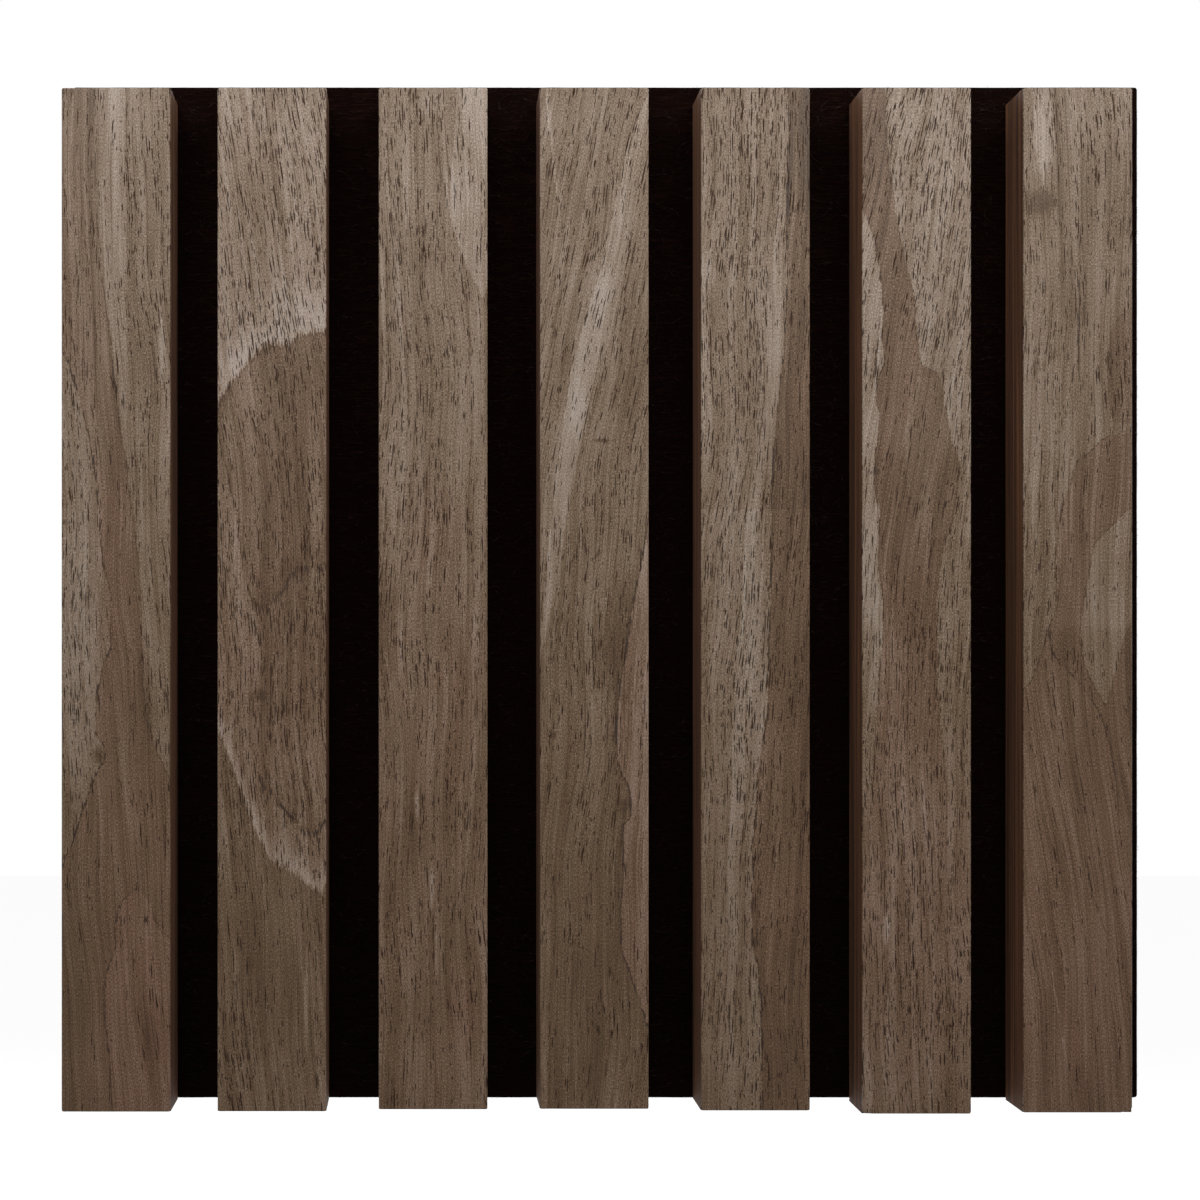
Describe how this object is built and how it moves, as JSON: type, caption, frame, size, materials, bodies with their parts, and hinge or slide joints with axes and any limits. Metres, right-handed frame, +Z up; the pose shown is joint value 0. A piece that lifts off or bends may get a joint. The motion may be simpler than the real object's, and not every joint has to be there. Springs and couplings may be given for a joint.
{
  "type": "acoustic slat wall panel",
  "caption": "Wall panel of wood-faced slats standing side by side on a dark felt board, stapled from behind.",
  "frame": {"origin": "middle of the felt board's back face, which lies on the wall", "axes": "+X across the slats to the right, +Y into the wall, +Z up along the slats"},
  "size_m": [0.2728, 0.021, 0.2595],
  "materials": {
    "felt": "near-black pressed polyester felt, matt, with fine loose fibres",
    "fibreboard": "fibreboard stained dark brown, matt, with fine saw marks along its length",
    "veneer": "oiled walnut veneer, matt, with dark open pores and pale streaks",
    "wire": "galvanised flat wire, dull"
  },
  "bodies": {
    "root": {"felt_backing": "felt", "slat_core_1": "fibreboard", "veneer_face_1": "veneer", "slat_core_2": "fibreboard", "veneer_face_2": "veneer", "slat_core_3": "fibreboard", "veneer_face_3": "veneer", "slat_core_4": "fibreboard", "veneer_face_4": "veneer", "slat_core_5": "fibreboard", "veneer_face_5": "veneer", "slat_core_6": "fibreboard", "veneer_face_6": "veneer", "slat_core_7": "fibreboard", "veneer_face_7": "veneer", "staples": "wire"}
  },
  "joints": []
}
